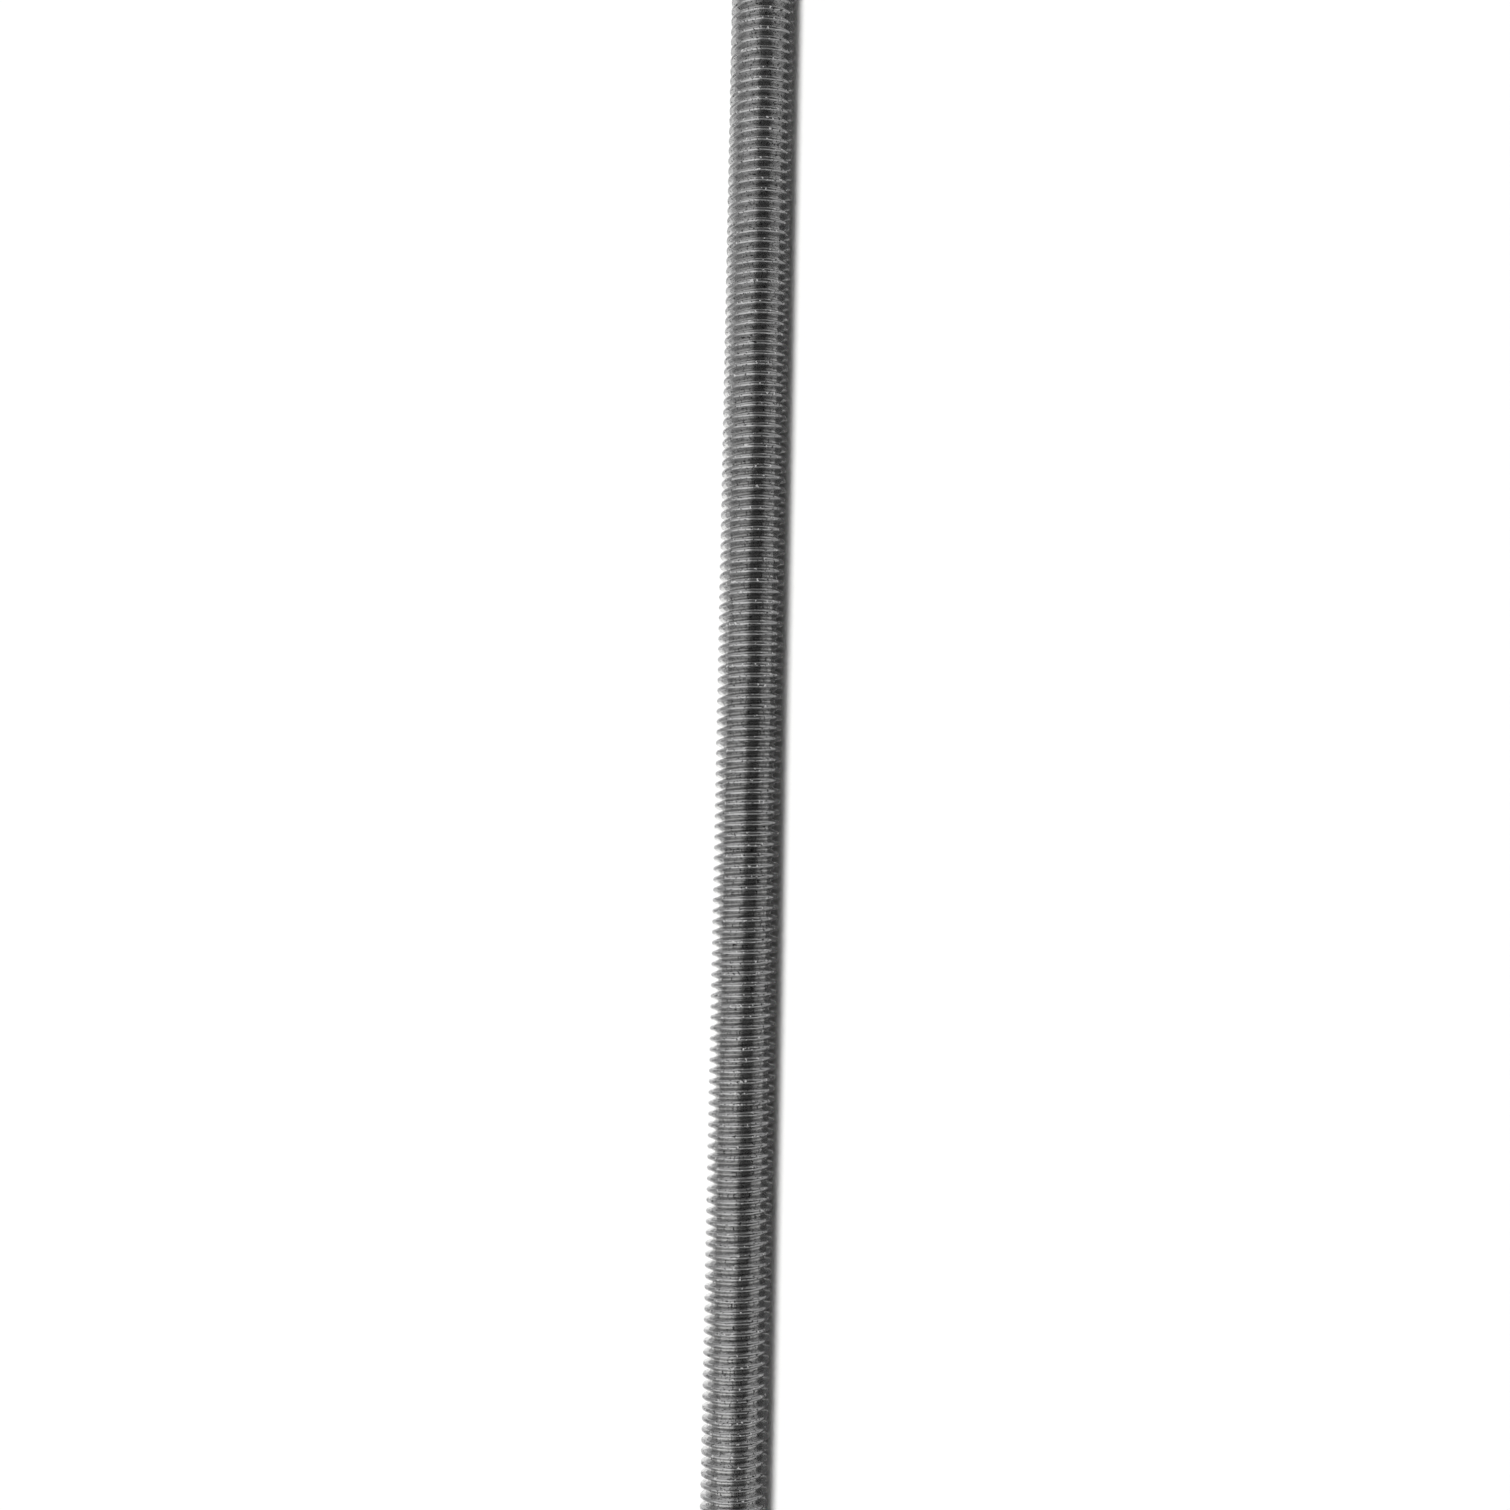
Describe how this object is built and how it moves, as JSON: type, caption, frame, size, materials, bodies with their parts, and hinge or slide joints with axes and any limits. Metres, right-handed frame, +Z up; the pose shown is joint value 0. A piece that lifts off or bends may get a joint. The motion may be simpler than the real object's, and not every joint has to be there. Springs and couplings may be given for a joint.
{
  "type": "threaded rod",
  "caption": "Straight steel rod with a continuous right-hand metric thread along its whole length and a plain chamfer at each end, for nuts, hangers and clamping through.",
  "frame": {"origin": "on the surface that the rod lies on, below the middle of its length: the lowest crests touch z = 0 and the axis is at z = 3.95 mm", "axes": "+Y along the rod's axis, from the near end to the far end; +Z up; +X across the rod"},
  "size_m": [0.0078, 0.2, 0.0079],
  "materials": {
    "zinc_plated_steel": "bright zinc plating on rolled steel, satin on the flanks and brighter on the crests, with small pits and scuffs"
  },
  "bodies": {
    "root": {"threaded_rod": "zinc_plated_steel"}
  },
  "joints": []
}
